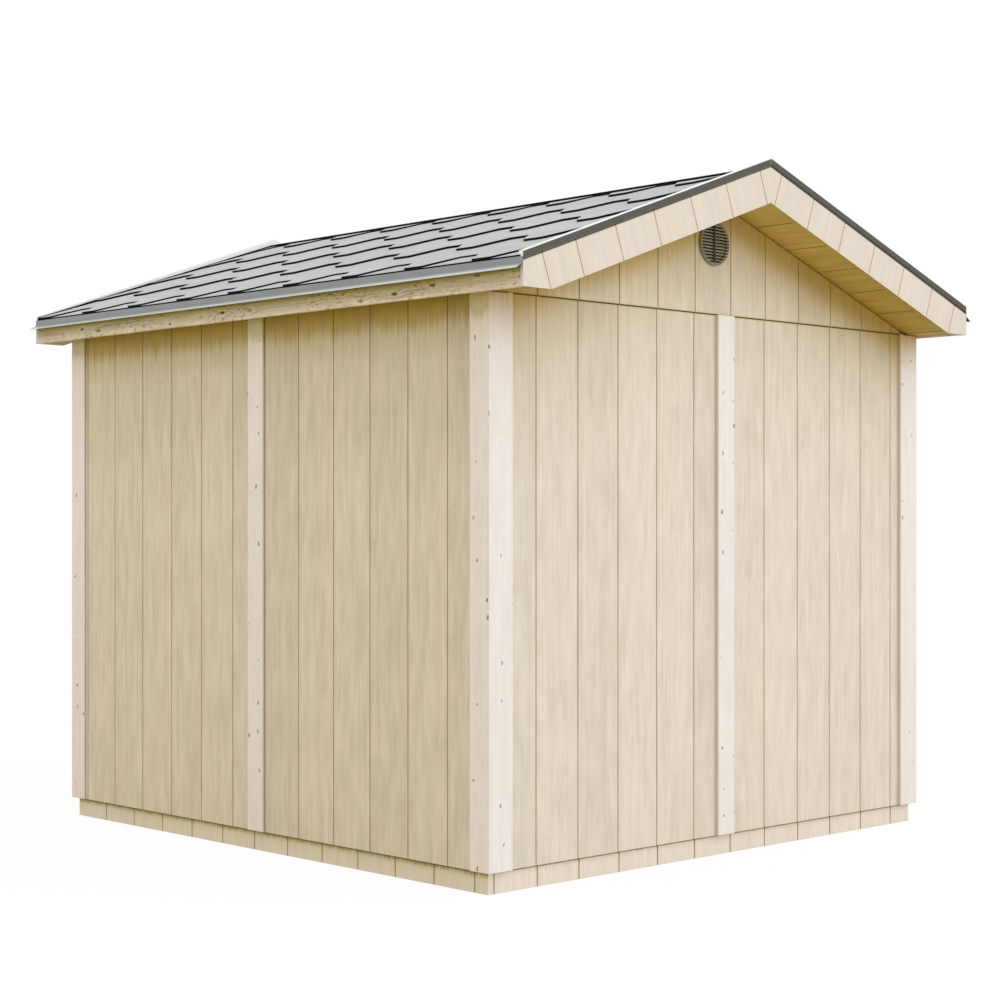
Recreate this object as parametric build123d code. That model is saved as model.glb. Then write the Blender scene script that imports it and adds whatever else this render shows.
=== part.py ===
"""Wooden garden shed with a low gable roof, built from the ground up.

Millimetres. X runs across the gables, Y along the eaves, Z up. The origin is on the ground
at the middle of the floor. The front gable looks towards -Y.
"""
import os
from math import atan, cos, hypot, radians, tan

from build123d import *

# Walls, measured over the siding
wall_width = 2374.0
wall_length = 2492.0
siding_bottom = 74.0
wall_panel_height = 1898.0
siding_thickness = 12.0
panel_joint = 3.0

# Floor frame, whose outer boards show as the plinth
plinth_height = 89.0
plinth_thickness = 38.0
joist_thickness = 38.0
joist_count = 4
floor_thickness = 15.0

# Wall frame
stud_width = 38.0
stud_depth = 63.0
gable_stud_count = 5
side_stud_count = 5

# Trim boards over the siding
gable_trim_thickness = 14.0
side_trim_thickness = 9.0
batten_width = 91.0
corner_gable_face = 109.0
corner_side_face = 93.0

# Roof
roof_pitch = 19.6
eave_overhang = 55.0
gable_overhang = 220.0
deck_thickness = 12.0
deck_eave_drop = 5.0
deck_ridge_drop = 22.0
rake_board_depth = 126.0
rake_board_thickness = 12.0
eave_board_height = 88.0
eave_board_thickness = 18.0
eave_board_joint = 2.0
soffit_thickness = 10.0
soffit_reveal = 8.0
rafter_thickness = 38.0
inner_rafter_count = 3
ridge_board_thickness = 24.0
shingle_thickness = 6.0
ridge_cap_thickness = 4.0
ridge_cap_reach = 120.0

# Sheet metal along the roof's edges
metal_thickness = 1.0
verge_height = 24.5
verge_width = 20.0
drip_height = 21.0
drip_lip_reach = 30.0
drip_lip_drop = 14.0

# Round louvred vent high in each gable
vent_diameter = 160.0
vent_rim = 12.0
vent_proud = 9.0
vent_spigot_wall = 5.0
vent_fit = 0.5
vent_offset = 59.0
vent_headroom = 10.0
louvre_pitch = 11.5
louvre_thickness = 3.0
louvre_depth = 12.0
louvre_tilt = 35.0
louvre_bar = 6.0

# How far a cutter runs past the faces that it cuts
cut_overrun = 5.0

# Planes and levels worked out from the sizes above
half_width = wall_width / 2
half_length = wall_length / 2
frame_x = half_width - siding_thickness
frame_y = half_length - siding_thickness
wall_top = siding_bottom + wall_panel_height
floor_top = plinth_height + floor_thickness
seat_level = wall_top + soffit_thickness
fascia_bottom = wall_top - soffit_reveal
eave_height = fascia_bottom + eave_board_height
eave_x = half_width + eave_overhang
tail_x = eave_x - eave_board_thickness
rake_y = half_length + gable_overhang
deck_y = rake_y - rake_board_thickness
ridge_x = ridge_board_thickness / 2
slope = tan(radians(roof_pitch))
plumb = 1 / cos(radians(roof_pitch))
cover_slope = slope - (deck_ridge_drop - deck_eave_drop) / eave_x
cover_plumb = hypot(1, cover_slope)
cover_thickness = deck_thickness + shingle_thickness
soffit_under = rake_board_depth - soffit_reveal
rafter_under = soffit_under - soffit_thickness
vent_radius = vent_diameter / 2
vent_clear = vent_radius - vent_rim


def roof_z(x, above=0.0):
    """Height at distance x from the ridge of the plane a square distance above the rake boards."""
    return eave_height + (eave_x - abs(x)) * slope + above * plumb


def cover_z(x, above=0.0):
    """Height at distance x from the ridge of the plane a square distance above the deck's underside."""
    return eave_height - deck_eave_drop + (eave_x - abs(x)) * cover_slope + above * cover_plumb


def rake_plane(above):
    """A plane along the rake boards, as a height for each distance from the ridge."""
    return lambda x: roof_z(x, above)


def cover_plane(above):
    """A plane along the roof cover, as a height for each distance from the ridge."""
    return lambda x: cover_z(x, above)


def meets_level(level, above):
    """Distance from the ridge at which a plane along the rake boards comes down to a level."""
    return eave_x - (level - eave_height - above * plumb) / slope


def vent_level():
    """Height of the vent's middle, from the headroom under the soffit above its outer edge."""
    return roof_z(vent_offset + vent_radius, -soffit_under) - vent_headroom - vent_radius


def block(x0, x1, y0, y1, z0, z1):
    """A plain board or slab between two corners."""
    middle = Pos((x0 + x1) / 2, (y0 + y1) / 2, (z0 + z1) / 2)
    return middle * Box(x1 - x0, y1 - y0, z1 - z0)


def along_y(points, y0, y1):
    """A board whose outline is drawn across the shed, from y0 to y1."""
    outline = Polyline(*[(x, y0, z) for x, z in points], close=True)
    return extrude(make_face(outline), amount=y1 - y0, dir=(0, 1, 0))


def slope_slab(x_low, x_high, under, over, y0, y1):
    """A layer of the left slope with plumb ends, between two sloping planes."""
    points = [
        (-x_low, under(x_low)),
        (-x_high, under(x_high)),
        (-x_high, over(x_high)),
        (-x_low, over(x_low)),
    ]
    return along_y(points, y0, y1)


def across(shape):
    """The same piece on the other side of the ridge."""
    return mirror(shape, about=Plane.YZ)


def behind(shape):
    """The same piece at the back gable."""
    return mirror(shape, about=Plane.XZ)


def spread(first, last, count):
    """Evenly spaced places from first to last."""
    step = (last - first) / (count - 1)
    return [first + step * index for index in range(count)]


def write(node, *solids):
    """Write one named piece, or a set of like pieces that stand apart."""
    shape = solids[0] if len(solids) == 1 else Compound(children=list(solids))
    export_step(shape, f"parts/{node}.step")


def floor_frame():
    """Plinth boards, joists and the floor deck."""
    inner_x = frame_x - plinth_thickness
    inner_y = frame_y - plinth_thickness
    front = block(-frame_x, frame_x, -frame_y, -inner_y, 0, plinth_height)
    left = block(-frame_x, -inner_x, -inner_y, inner_y, 0, plinth_height)
    write("gable_plinth_boards", front, behind(front))
    write("side_plinth_boards", left, across(left))
    half = joist_thickness / 2
    places = spread(-inner_y, inner_y, joist_count + 2)[1:-1]
    joists = [block(-inner_x, inner_x, y - half, y + half, 0, plinth_height) for y in places]
    write("floor_joists", *joists)
    write("floor_deck", block(-frame_x, frame_x, -frame_y, frame_y, plinth_height, floor_top))


def wall_frame():
    """Plates and studs of the four walls, and the short studs under the end rafters."""
    inner_x = frame_x - stud_depth
    inner_y = frame_y - stud_depth
    stud_foot = floor_top + stud_width
    stud_head = seat_level - stud_width
    half = stud_width / 2
    levels = [(floor_top, stud_foot), (stud_head, seat_level)]

    gable_plates = [block(-frame_x, frame_x, -frame_y, -inner_y, low, high) for low, high in levels]
    side_plates = [block(-frame_x, -inner_x, -inner_y, inner_y, low, high) for low, high in levels]
    write("gable_wall_plates", *gable_plates, *[behind(plate) for plate in gable_plates])
    write("side_wall_plates", *side_plates, *[across(plate) for plate in side_plates])

    gable_places = spread(-frame_x + half, frame_x - half, gable_stud_count)
    side_places = spread(-inner_y + half, inner_y - half, side_stud_count)
    gable_studs = [
        block(x - half, x + half, -frame_y, -inner_y, stud_foot, stud_head) for x in gable_places
    ]
    side_studs = [
        block(-frame_x, -inner_x, y - half, y + half, stud_foot, stud_head) for y in side_places
    ]
    write("gable_wall_studs", *gable_studs, *[behind(stud) for stud in gable_studs])
    write("side_wall_studs", *side_studs, *[across(stud) for stud in side_studs])

    x = gable_places[1]
    outline = [
        (x - half, seat_level),
        (x + half, seat_level),
        (x + half, roof_z(x + half, -rafter_under)),
        (x - half, roof_z(x - half, -rafter_under)),
    ]
    cripple = along_y(outline, -frame_y, -frame_y + rafter_thickness)
    pair = [cripple, across(cripple)]
    write("gable_short_studs", *pair, *[behind(stud) for stud in pair])


def siding():
    """Two tall panels a wall, with a joint in the middle, and one panel in each gable."""
    half_joint = panel_joint / 2
    front = block(-half_width, -half_joint, -half_length, -frame_y, siding_bottom, wall_top)
    side = block(-half_width, -frame_x, -frame_y, -half_joint, siding_bottom, wall_top)
    write("front_wall_panels", front, across(front))
    write("back_wall_panels", behind(front), behind(across(front)))
    write("left_wall_panels", side, behind(side))
    write("right_wall_panels", across(side), behind(across(side)))

    foot = wall_top + panel_joint
    outline = [
        (-half_width, foot),
        (half_width, foot),
        (half_width, cover_z(half_width)),
        (0, cover_z(0)),
        (-half_width, cover_z(half_width)),
    ]
    gable = along_y(outline, -half_length, -frame_y) - ridge_board()
    depth = siding_thickness + cut_overrun * 2
    gable -= vent_cylinder(vent_clear + vent_spigot_wall + vent_fit, -half_length - cut_overrun, depth)
    write("front_gable_panel", gable)
    write("back_gable_panel", Rot(0, 0, 180) * gable)


def trim():
    """Battens over the panel joints and an L-shaped board at each corner."""
    half = batten_width / 2
    outer_x = half_width + side_trim_thickness
    outer_y = half_length + gable_trim_thickness
    front = block(-half, half, -outer_y, -half_length, siding_bottom, wall_top)
    left = block(-outer_x, -half_width, -half, half, siding_bottom, wall_top)
    write("front_batten", front)
    write("back_batten", behind(front))
    write("left_batten", left)
    write("right_batten", across(left))

    gable_leg = block(-outer_x, -outer_x + corner_gable_face, -outer_y, -half_length,
                      siding_bottom, wall_top)
    side_leg = block(-outer_x, -half_width, -outer_y, -outer_y + corner_side_face,
                     siding_bottom, wall_top)
    corner = gable_leg + side_leg
    write("front_left_corner", corner)
    write("front_right_corner", across(corner))
    write("back_left_corner", behind(corner))
    write("back_right_corner", behind(across(corner)))


def ridge_board():
    """The board between the rafters, with its top edge bevelled both ways to carry the deck."""
    low = roof_z(0, -rafter_under)
    outline = [
        (-ridge_x, low),
        (ridge_x, low),
        (ridge_x, cover_z(ridge_x)),
        (0, cover_z(0)),
        (-ridge_x, cover_z(ridge_x)),
    ]
    return along_y(outline, -deck_y, deck_y)


def roof_frame():
    """Ridge board and rafters. The outermost rafters stand behind the rake boards."""
    write("ridge_board", ridge_board())
    outline = [
        (-tail_x, seat_level),
        (-meets_level(seat_level, -rafter_under), seat_level),
        (-ridge_x, roof_z(ridge_x, -rafter_under)),
        (-ridge_x, cover_z(ridge_x)),
        (-tail_x, cover_z(tail_x)),
    ]
    half = rafter_thickness / 2
    places = spread(-frame_y + half, frame_y - half, inner_rafter_count + 2)
    places = [-deck_y + half, *places, deck_y - half]
    left = [along_y(outline, y - half, y + half) for y in places]
    write("rafters", *left, *[across(rafter) for rafter in left])


def roof_cover():
    """Roof deck, shingle layer and ridge cap."""
    deck = slope_slab(eave_x, 0, cover_plane(0), cover_plane(deck_thickness), -deck_y, deck_y)
    write("left_roof_deck", deck)
    write("right_roof_deck", across(deck))

    cover_top = cover_plane(cover_thickness)
    shingles = slope_slab(eave_x, 0, cover_plane(deck_thickness), cover_top, -deck_y, deck_y)
    write("left_shingles", shingles)
    write("right_shingles", across(shingles))

    cap_x = ridge_cap_reach / cover_plumb
    cap_y = rake_y - verge_width
    cap_top = cover_plane(cover_thickness + ridge_cap_thickness)
    cap = [
        (-cap_x, cover_top(cap_x)),
        (0, cover_top(0)),
        (cap_x, cover_top(cap_x)),
        (cap_x, cap_top(cap_x)),
        (0, cap_top(0)),
        (-cap_x, cap_top(cap_x)),
    ]
    write("ridge_cap", along_y(cap, -cap_y, cap_y))


def roof_edges():
    """Boards that close the eaves and the rakes, and the soffits between them and the walls."""
    eave = [
        (-eave_x, fascia_bottom),
        (-tail_x, fascia_bottom),
        (-tail_x, cover_z(tail_x)),
        (-eave_x, cover_z(eave_x)),
    ]
    front_eave = along_y(eave, -deck_y, -eave_board_joint / 2)
    write("left_eave_boards", front_eave, behind(front_eave))
    write("right_eave_boards", across(front_eave), behind(across(front_eave)))

    rake = [
        (-eave_x, fascia_bottom),
        (-meets_level(fascia_bottom, -rake_board_depth), fascia_bottom),
        (0, roof_z(0, -rake_board_depth)),
        (0, roof_z(0)),
        (-eave_x, roof_z(eave_x)),
    ]
    front_rake = along_y(rake, -rake_y, -deck_y)
    write("left_rake_boards", front_rake, behind(front_rake))
    write("right_rake_boards", across(front_rake), behind(across(front_rake)))

    eave_soffit = block(-tail_x, -half_width, -half_length, half_length, wall_top, seat_level)
    write("eave_soffits", eave_soffit, across(eave_soffit))

    bent = [
        (-tail_x, wall_top),
        (-meets_level(wall_top, -soffit_under), wall_top),
        (0, roof_z(0, -soffit_under)),
        (0, roof_z(0, -rafter_under)),
        (-meets_level(seat_level, -rafter_under), seat_level),
        (-tail_x, seat_level),
    ]
    front_soffit = along_y(bent, -deck_y, -half_length)
    write("left_rake_soffits", front_soffit, behind(front_soffit))
    write("right_rake_soffits", across(front_soffit), behind(across(front_soffit)))


def roof_metal():
    """Folded caps over the verges, closed at the eaves, and a drip edge along each eave."""
    inner_y = rake_y - verge_width
    end_x = eave_x - metal_thickness
    seat = rake_plane(0)
    lining = rake_plane(verge_height - metal_thickness)
    crown = rake_plane(verge_height)
    cover_top = cover_plane(cover_thickness)
    verge = slope_slab(eave_x, 0, seat, crown, -rake_y, -rake_y + metal_thickness)
    verge += slope_slab(eave_x, 0, lining, crown, -rake_y, -inner_y)
    verge += slope_slab(eave_x, 0, cover_top, crown, -inner_y - metal_thickness, -inner_y)
    verge += slope_slab(eave_x, end_x, seat, crown, -rake_y, -deck_y)
    verge += slope_slab(eave_x, end_x, cover_top, crown, -deck_y, -inner_y)
    write("left_verge_caps", verge, behind(verge))
    write("right_verge_caps", across(verge), behind(across(verge)))

    outer_x = eave_x + metal_thickness
    tip_x = eave_x + drip_lip_reach
    fold = eave_height - drip_height
    fall = drip_lip_drop / drip_lip_reach
    lip_plumb = metal_thickness / cos(atan(fall))
    outline = [
        (-eave_x, cover_z(eave_x, deck_thickness)),
        (-eave_x, fold),
        (-tip_x, fold - drip_lip_drop),
        (-tip_x, fold - drip_lip_drop + lip_plumb),
        (-outer_x, fold - metal_thickness * fall + lip_plumb),
        (-outer_x, cover_z(outer_x, deck_thickness)),
    ]
    drip = along_y(outline, -rake_y, rake_y)
    write("left_drip_edge", drip)
    write("right_drip_edge", across(drip))


def vent_cylinder(radius, y0, depth):
    """A round bar through the front gable on the vent's axis, from y0 inwards."""
    middle = Pos(-vent_offset, y0 + depth / 2, vent_level())
    return middle * Rot(90, 0, 0) * Cylinder(radius, depth)


def gable_vents():
    """A round rim with a spigot through the siding, sloping louvres and a bar down the middle."""
    face = -half_length - vent_proud
    depth = vent_proud + siding_thickness
    vent = vent_cylinder(vent_radius, face, vent_proud)
    vent += vent_cylinder(vent_clear + vent_spigot_wall, face, depth)
    vent -= vent_cylinder(vent_clear, face - cut_overrun, depth + cut_overrun * 2)

    core = vent_cylinder(vent_clear + vent_spigot_wall / 2, face, depth)
    blade = Rot(louvre_tilt, 0, 0) * Box(vent_diameter, louvre_depth, louvre_thickness)
    count = int(vent_clear * 2 / louvre_pitch)
    reach = louvre_pitch * (count - 1) / 2
    middle = vent_level()
    for z in spread(middle - reach, middle + reach, count):
        vent += (Pos(-vent_offset, face + depth / 2, z) * blade) & core
    half_bar = louvre_bar / 2
    bar = block(-vent_offset - half_bar, -vent_offset + half_bar, face, face + depth,
                middle - vent_radius, middle + vent_radius)
    vent += bar & core
    write("front_gable_vent", vent)
    write("back_gable_vent", Rot(0, 0, 180) * vent)


os.makedirs("parts", exist_ok=True)
floor_frame()
wall_frame()
siding()
trim()
roof_frame()
roof_cover()
roof_edges()
roof_metal()
gable_vents()
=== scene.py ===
"""Wooden garden shed, dressed for the studio.

Grooved board siding on walls, gables, plinth and rakes, pale knotty trim, knotty eave boards, a roof
of tabbed shingle courses with folded metal edges, and a round louvred vent in each gable.
Metres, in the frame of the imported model: the front gable looks towards -Y and the left wall towards -X.
"""
from math import cos, hypot, pi, radians, sin, tan

import bmesh
import bpy
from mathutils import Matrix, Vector


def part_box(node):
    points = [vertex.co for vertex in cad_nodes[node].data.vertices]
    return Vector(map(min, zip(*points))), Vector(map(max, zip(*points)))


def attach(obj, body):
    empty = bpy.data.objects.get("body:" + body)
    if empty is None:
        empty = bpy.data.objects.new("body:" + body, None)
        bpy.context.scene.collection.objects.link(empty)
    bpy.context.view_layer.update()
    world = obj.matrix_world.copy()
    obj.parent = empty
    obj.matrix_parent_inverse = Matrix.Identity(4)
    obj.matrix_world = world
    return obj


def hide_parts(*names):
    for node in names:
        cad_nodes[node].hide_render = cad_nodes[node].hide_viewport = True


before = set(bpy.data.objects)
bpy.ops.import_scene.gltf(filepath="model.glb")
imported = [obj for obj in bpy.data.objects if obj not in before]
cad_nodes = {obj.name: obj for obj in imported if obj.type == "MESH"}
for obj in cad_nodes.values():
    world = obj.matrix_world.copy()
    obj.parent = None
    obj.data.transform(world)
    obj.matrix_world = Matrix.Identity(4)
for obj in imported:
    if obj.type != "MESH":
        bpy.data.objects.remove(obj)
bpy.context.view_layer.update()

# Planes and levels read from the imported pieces
front_panels_low, front_panels_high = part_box("front_wall_panels")
gable_panel_low, gable_panel_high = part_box("front_gable_panel")
plinth_low, plinth_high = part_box("gable_plinth_boards")
rake_low, rake_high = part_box("left_rake_boards")
deck_low, deck_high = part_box("left_roof_deck")
vent_low, vent_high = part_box("front_gable_vent")
drip_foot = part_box("left_drip_edge")[0].z
wall_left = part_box("left_wall_panels")[0].x
wall_front = front_panels_low.y
wall_foot = front_panels_low.z
wall_top = front_panels_high.z
plinth_front = plinth_low.y
plinth_left = plinth_low.x
eave_x = -rake_low.x
rake_front = rake_low.y
apex = rake_high.z

# Board siding: one groove every 200 mm, each set with the offset that the photo shows.
# A groove's size is its mouth, its floor and its depth.
board_pitch = 0.200
wall_groove_size = (0.0052, 0.0026, 0.0038)
plinth_groove_size = (0.0060, 0.0030, 0.0035)
rake_groove_size = (0.0042, 0.0024, 0.0026)
soffit_groove_size = (0.0050, 0.0025, 0.0018)
gable_groove = -0.9668
gable_top_groove = -0.9595
side_groove = wall_front + 0.1962
gable_plinth_groove = -1.1489
side_plinth_groove = wall_front + 0.0763
rake_groove = 0.067
rake_last_groove = 1.230
soffit_groove = 0.233
gable_groove_count = 11
side_groove_count = 12
plinth_groove_count = 12
slope_groove_count = 6
groove_spare = 0.04
rake_groove_length = 0.3
soffit_groove_length = 4.0
rake_pitch = radians(19.6)
rake_depth = 0.126
soffit_under = 0.118
soffit_rise = 0.0071
wall_seam = wall_top + 0.0002
wall_seam_gap = 0.0004
# The wall seam's dark olive joint, and the reach of the painted shade on the boards beside it
wall_seam_core = (0.0018, 0.0034)
seam_shade_reach = (0.003, 0.011)

# Shingle courses, measured up the slope from the eave
cover_pitch = radians(18.9)
deck_thickness = 0.012
course_spacing = 0.293
course_count = 4
course_lap = 0.135
course_columns = 417
tab_pitch = 0.3333
tab_foot = 0.088
tab_depth = 0.112
tab_phase = 0.085
tab_shift = 0.019
eave_tab_phase = 0.060
butt_thickness = 0.0080
foot_height = 0.0120
starter_run = 0.24
starter_foot = 0.0052
starter_head = 0.0012
bead_width = 0.014
bead_start = 0.050
bead_lap = 0.002
bead_stop = 0.02
bead_lift = 0.001
crest_height = 0.0043
crest_under = 0.001
ridge_strip_half = 0.036
ridge_strip_edge = 0.0075
ridge_strip_top = 0.0065
ridge_strip_foot = -0.001
ridge_strip_under = -0.002
verge_width = 0.020

# Edge easing of sawn boards, folded metal and moulded plastic, and the drip edge's lip
board_ease = 0.0016
metal_ease = 0.0004
vent_ease = 0.0008
lip_drop = 0.014
lip_reach = 0.02
lip_tip_rise = 0.003
lip_fold_rise = 0.0075
lip_top = drip_foot + lip_drop + 0.004
lip_grey = (drip_foot + 0.0050, drip_foot + 0.0205)
eave_shade_top = drip_foot + 0.012

# Vent rim and the bar down its middle
vent_clear = 0.068
vent_bar = 0.006
louvre_pitch = 0.0115
louvre_dip = 0.0034
louvre_edge = (0.0024, 0.0036)
rim_edge = (vent_clear + 0.0052, vent_clear + 0.0066)

# How near a plane counts as on it, and how squarely a face looks along an axis
slack = 0.0005
full_on = 0.9

# Directions
upright = (0.0, 0.0, 1.0)
x_axis = (1.0, 0.0, 0.0)
y_axis = (0.0, 1.0, 0.0)
walls_across = (1.0, -1.0, 0.0)
eave_across = (0.6, 0.0, 1.0)
left_rise = (cos(rake_pitch), 0.0, sin(rake_pitch))
right_rise = (cos(rake_pitch), 0.0, -sin(rake_pitch))
left_square = (-sin(rake_pitch), 0.0, cos(rake_pitch))
right_square = (sin(rake_pitch), 0.0, cos(rake_pitch))


class Nodes:
    """Short ways to add nodes to one tree."""

    def __init__(self, tree):
        self.tree = tree

    def feed(self, socket, value):
        """Link an output to a socket, or set the socket to a plain value."""
        if isinstance(value, bpy.types.NodeSocket):
            self.tree.links.new(value, socket)
        else:
            socket.default_value = (*value, 1.0) if socket.type == "RGBA" else value

    def put(self, kind, values=None, **settings):
        """Add a node, set its properties, and feed its inputs."""
        node = self.tree.nodes.new(kind)
        for name, value in settings.items():
            setattr(node, name, value)
        for key, value in (values or {}).items():
            self.feed(node.inputs[key], value)
        return node

    def out(self, kind, values=None, **settings):
        """Add a node, for its first output."""
        return self.put(kind, values, **settings).outputs[0]

    def geo(self, kind, values=None, **settings):
        """Add a geometry node, for its first output."""
        return self.out("GeometryNode" + kind, values, **settings)

    def calc(self, operation, first, second=0.0, third=0.0):
        """One sum."""
        return self.out("ShaderNodeMath", {0: first, 1: second, 2: third}, operation=operation)

    def add(self, first, second):
        return self.calc("ADD", first, second)

    def sub(self, first, second):
        return self.calc("SUBTRACT", first, second)

    def mul(self, first, second):
        return self.calc("MULTIPLY", first, second)

    def div(self, first, second):
        return self.calc("DIVIDE", first, second)

    def mad(self, first, second, third):
        """The first times the second, plus the third."""
        return self.calc("MULTIPLY_ADD", first, second, third)

    def vector(self, x, y=0.0, z=0.0):
        return self.out("ShaderNodeCombineXYZ", {0: x, 1: y, 2: z})

    def split(self, vector):
        return self.put("ShaderNodeSeparateXYZ", {0: vector}).outputs

    def point(self):
        """The point on the piece, in the shed's own frame."""
        return self.put("ShaderNodeTexCoord").outputs["Object"]

    def along(self, point, direction):
        """How far a point lies along a direction."""
        return self.put("ShaderNodeVectorMath", {0: point, 1: direction},
                        operation="DOT_PRODUCT").outputs["Value"]

    def ramp(self, value, low, high, start=0.0, end=1.0, smooth=True):
        """Carry a value from one range to another, held at the ends."""
        return self.out("ShaderNodeMapRange", {0: value, 1: low, 2: high, 3: start, 4: end},
                        interpolation_type="SMOOTHSTEP" if smooth else "LINEAR")

    def noise(self, vector, scale, detail=3.0, roughness=0.55):
        """Soft noise stretched by a scale for each axis."""
        stretched = self.out("ShaderNodeVectorMath", {0: vector, 1: scale}, operation="MULTIPLY")
        return self.out("ShaderNodeTexNoise", {
            "Vector": stretched, "Scale": 1.0, "Detail": detail, "Roughness": roughness})

    def blend(self, share, first, second, way="MIX"):
        """Mix two colours."""
        return self.put("ShaderNodeMix", {0: share, 6: first, 7: second},
                        data_type="RGBA", blend_type=way).outputs[2]

    def tint(self, colour, by):
        """Multiply a colour by another."""
        return self.blend(1.0, colour, by, "MULTIPLY")

    def uneven_tint(self, colour, draw):
        """Make a colour a little darker or lighter, by a random draw from 0 to 1."""
        level = self.ramp(draw, 0.0, 1.0, 0.965, 1.03, smooth=False)
        return self.tint(colour, self.out("ShaderNodeCombineColor", {0: level, 1: level, 2: level}))

    def store(self, geometry, name, value, kind, domain):
        """Keep a value on a geometry by name."""
        values = {"Geometry": geometry, "Name": name, "Value": value}
        return self.geo("StoreNamedAttribute", values, data_type=kind, domain=domain)

    def stored(self, name, kind):
        """A value that was kept by name."""
        return self.geo("InputNamedAttribute", {"Name": name}, data_type=kind)

    def paint(self, geometry, material, selection=True):
        """Give a geometry's selected faces a material."""
        return self.geo("SetMaterial", {
            "Geometry": geometry, "Selection": selection, "Material": material})


def make_board_grain():
    """Node group: colour and height of planed softwood from the place across and along its grain."""
    group = bpy.data.node_groups.new("board_grain", "ShaderNodeTree")
    for way, kind, names in (
            ("INPUT", "Float", ("Across", "Along", "Seed")), ("INPUT", "Color", ("Pale", "Deep", "Knot")),
            ("INPUT", "Float", ("Figure", "Lines", "Specks", "Knot Share", "Knot Width", "Knot Length")),
            ("OUTPUT", "Color", ("Color",)), ("OUTPUT", "Float", ("Height", "Streak"))):
        for name in names:
            group.interface.new_socket(name, in_out=way, socket_type="NodeSocket" + kind)
    n = Nodes(group)
    given = n.put("NodeGroupInput").outputs
    across, length, seed, pale, deep = (given[name] for name in ("Across", "Along", "Seed", "Pale", "Deep"))
    flat = n.vector(across, length, seed)

    # Knots: ragged spots with a dark heart, and a halo that the grain bends around
    ragged = n.sub(n.noise(flat, (170.0, 80.0, 1.0), 1.0), 0.5)
    cell_x = n.mad(seed, 7.31, n.div(n.mad(ragged, 0.012, across), given["Knot Width"]))
    cell_y = n.div(n.mad(ragged, 0.010, length), given["Knot Length"])
    cell = {"Vector": n.vector(cell_x, cell_y), "Scale": 1.0, "Randomness": 0.95}
    cells = n.put("ShaderNodeTexVoronoi", cell, voronoi_dimensions="2D").outputs
    pick = n.put("ShaderNodeSeparateColor", {0: cells["Color"]}).outputs
    kept = n.calc("LESS_THAN", pick[0], given["Knot Share"])
    reach = n.div(cells["Distance"], n.ramp(pick[1], 0.0, 1.0, 0.040, 0.110, smooth=False))
    dark = n.mul(kept, n.ramp(pick[2], 0.0, 1.0, 0.40, 1.0, smooth=False))
    heart = n.mul(n.ramp(reach, 0.45, 1.15, 1.0, 0.0), dark)
    halo = n.mul(n.ramp(reach, 0.9, 3.6, 1.0, 0.0), kept)

    # Figure: pores, veins, patches and rings, drawn out along the grain
    wander = n.sub(n.noise(flat, (5.0, 1.3, 1.0), 2.0), 0.5)
    swept = n.mad(halo, 0.009, n.mad(wander, 0.030, across))
    place = n.vector(swept, length, seed)
    pores = n.noise(place, (210.0, 12.0, 1.0), 2.0)
    veins = n.noise(place, (58.0, 2.8, 1.0), 3.0, 0.6)
    patches = n.noise(place, (24.0, 5.5, 1.0), 3.0, 0.6)
    bands = n.noise(place, (9.0, 0.9, 1.0), 2.0)
    thin = n.noise(place, (105.0, 1.8, 7.0), 2.0)
    rings = n.calc("SINE", n.mul(n.mad(bands, 6.0, n.mul(swept, 16.0)), 2.0 * pi))
    tone = n.mad(n.sub(veins, 0.5), 1.9, n.mul(n.sub(pores, 0.5), 0.4))
    tone = n.mul(tone, n.ramp(n.noise(place, (13.0, 2.4, 9.0), 2.0), 0.36, 0.64, 0.25, 1.5))
    tone = n.mad(n.sub(patches, 0.5), 2.1, tone)
    tone = n.mad(rings, 0.05, n.mad(n.sub(bands, 0.5), 0.8, tone))
    tone = n.out("ShaderNodeClamp", {0: n.mad(tone, given["Figure"], 0.5)})

    # Colour: pale to deep wood, with glints, pale streaks, thin lines and specks
    hue = n.ramp(n.noise(place, (17.0, 2.4, 4.0), 2.0), 0.36, 0.64)
    wood = n.tint(n.blend(tone, pale, deep), n.blend(hue, (1.0, 0.989, 0.990), (0.998, 0.996, 0.972)))
    wood = n.blend(n.mul(halo, 0.45), wood, pale)
    glint = n.ramp(n.noise(place, (120.0, 13.0, 3.0), 2.0), 0.60, 0.74, 0.0, 0.55)
    wood = n.blend(glint, wood, n.tint(pale, (1.06, 1.07, 1.09)))
    pale_streak = n.ramp(n.noise(place, (62.0, 0.4, 11.0), 2.0), 0.61, 0.70, 0.0, 0.5)
    wood = n.blend(pale_streak, wood, n.tint(pale, (1.03, 1.03, 0.94)))
    line = n.mul(n.ramp(thin, 0.585, 0.66), given["Lines"])
    wood = n.blend(line, wood, n.tint(deep, (0.60, 0.53, 0.46)))
    speck = n.ramp(n.noise(flat, (150.0, 34.0, 5.0), 3.0, 0.65), 0.545, 0.625)
    crowd = n.ramp(n.noise(flat, (14.0, 4.5, 2.0), 2.0), 0.40, 0.62, 0.25, 1.0)
    wood = n.blend(n.mul(n.mul(speck, crowd), given["Specks"]), wood, n.tint(deep, (0.50, 0.42, 0.30)))
    wood = n.blend(heart, wood, given["Knot"])
    height = n.sub(n.mad(veins, 0.7, n.mul(pores, 0.4)), n.mul(heart, 0.6))
    streak = n.mad(thin, 0.5, n.mul(patches, 0.5))
    n.put("NodeGroupOutput", {"Color": wood, "Height": height, "Streak": streak})
    return group


board_grain = make_board_grain()


def height_of(n, point):
    """The height of a point above the ground."""
    return n.along(point, upright)


def from_ridge(n, point):
    """How far a point lies to either side of the ridge."""
    return n.calc("ABSOLUTE", n.along(point, x_axis))


def from_wall(n, point):
    """How far a point stands out from the gable wall."""
    return n.add(n.calc("ABSOLUTE", n.along(point, y_axis)), wall_front)


def off_wall(n, point):
    """How far a point of the trim stands off the siding that it lies on."""
    return n.calc("MAXIMUM", n.add(from_ridge(n, point), wall_left), from_wall(n, point))


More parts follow.
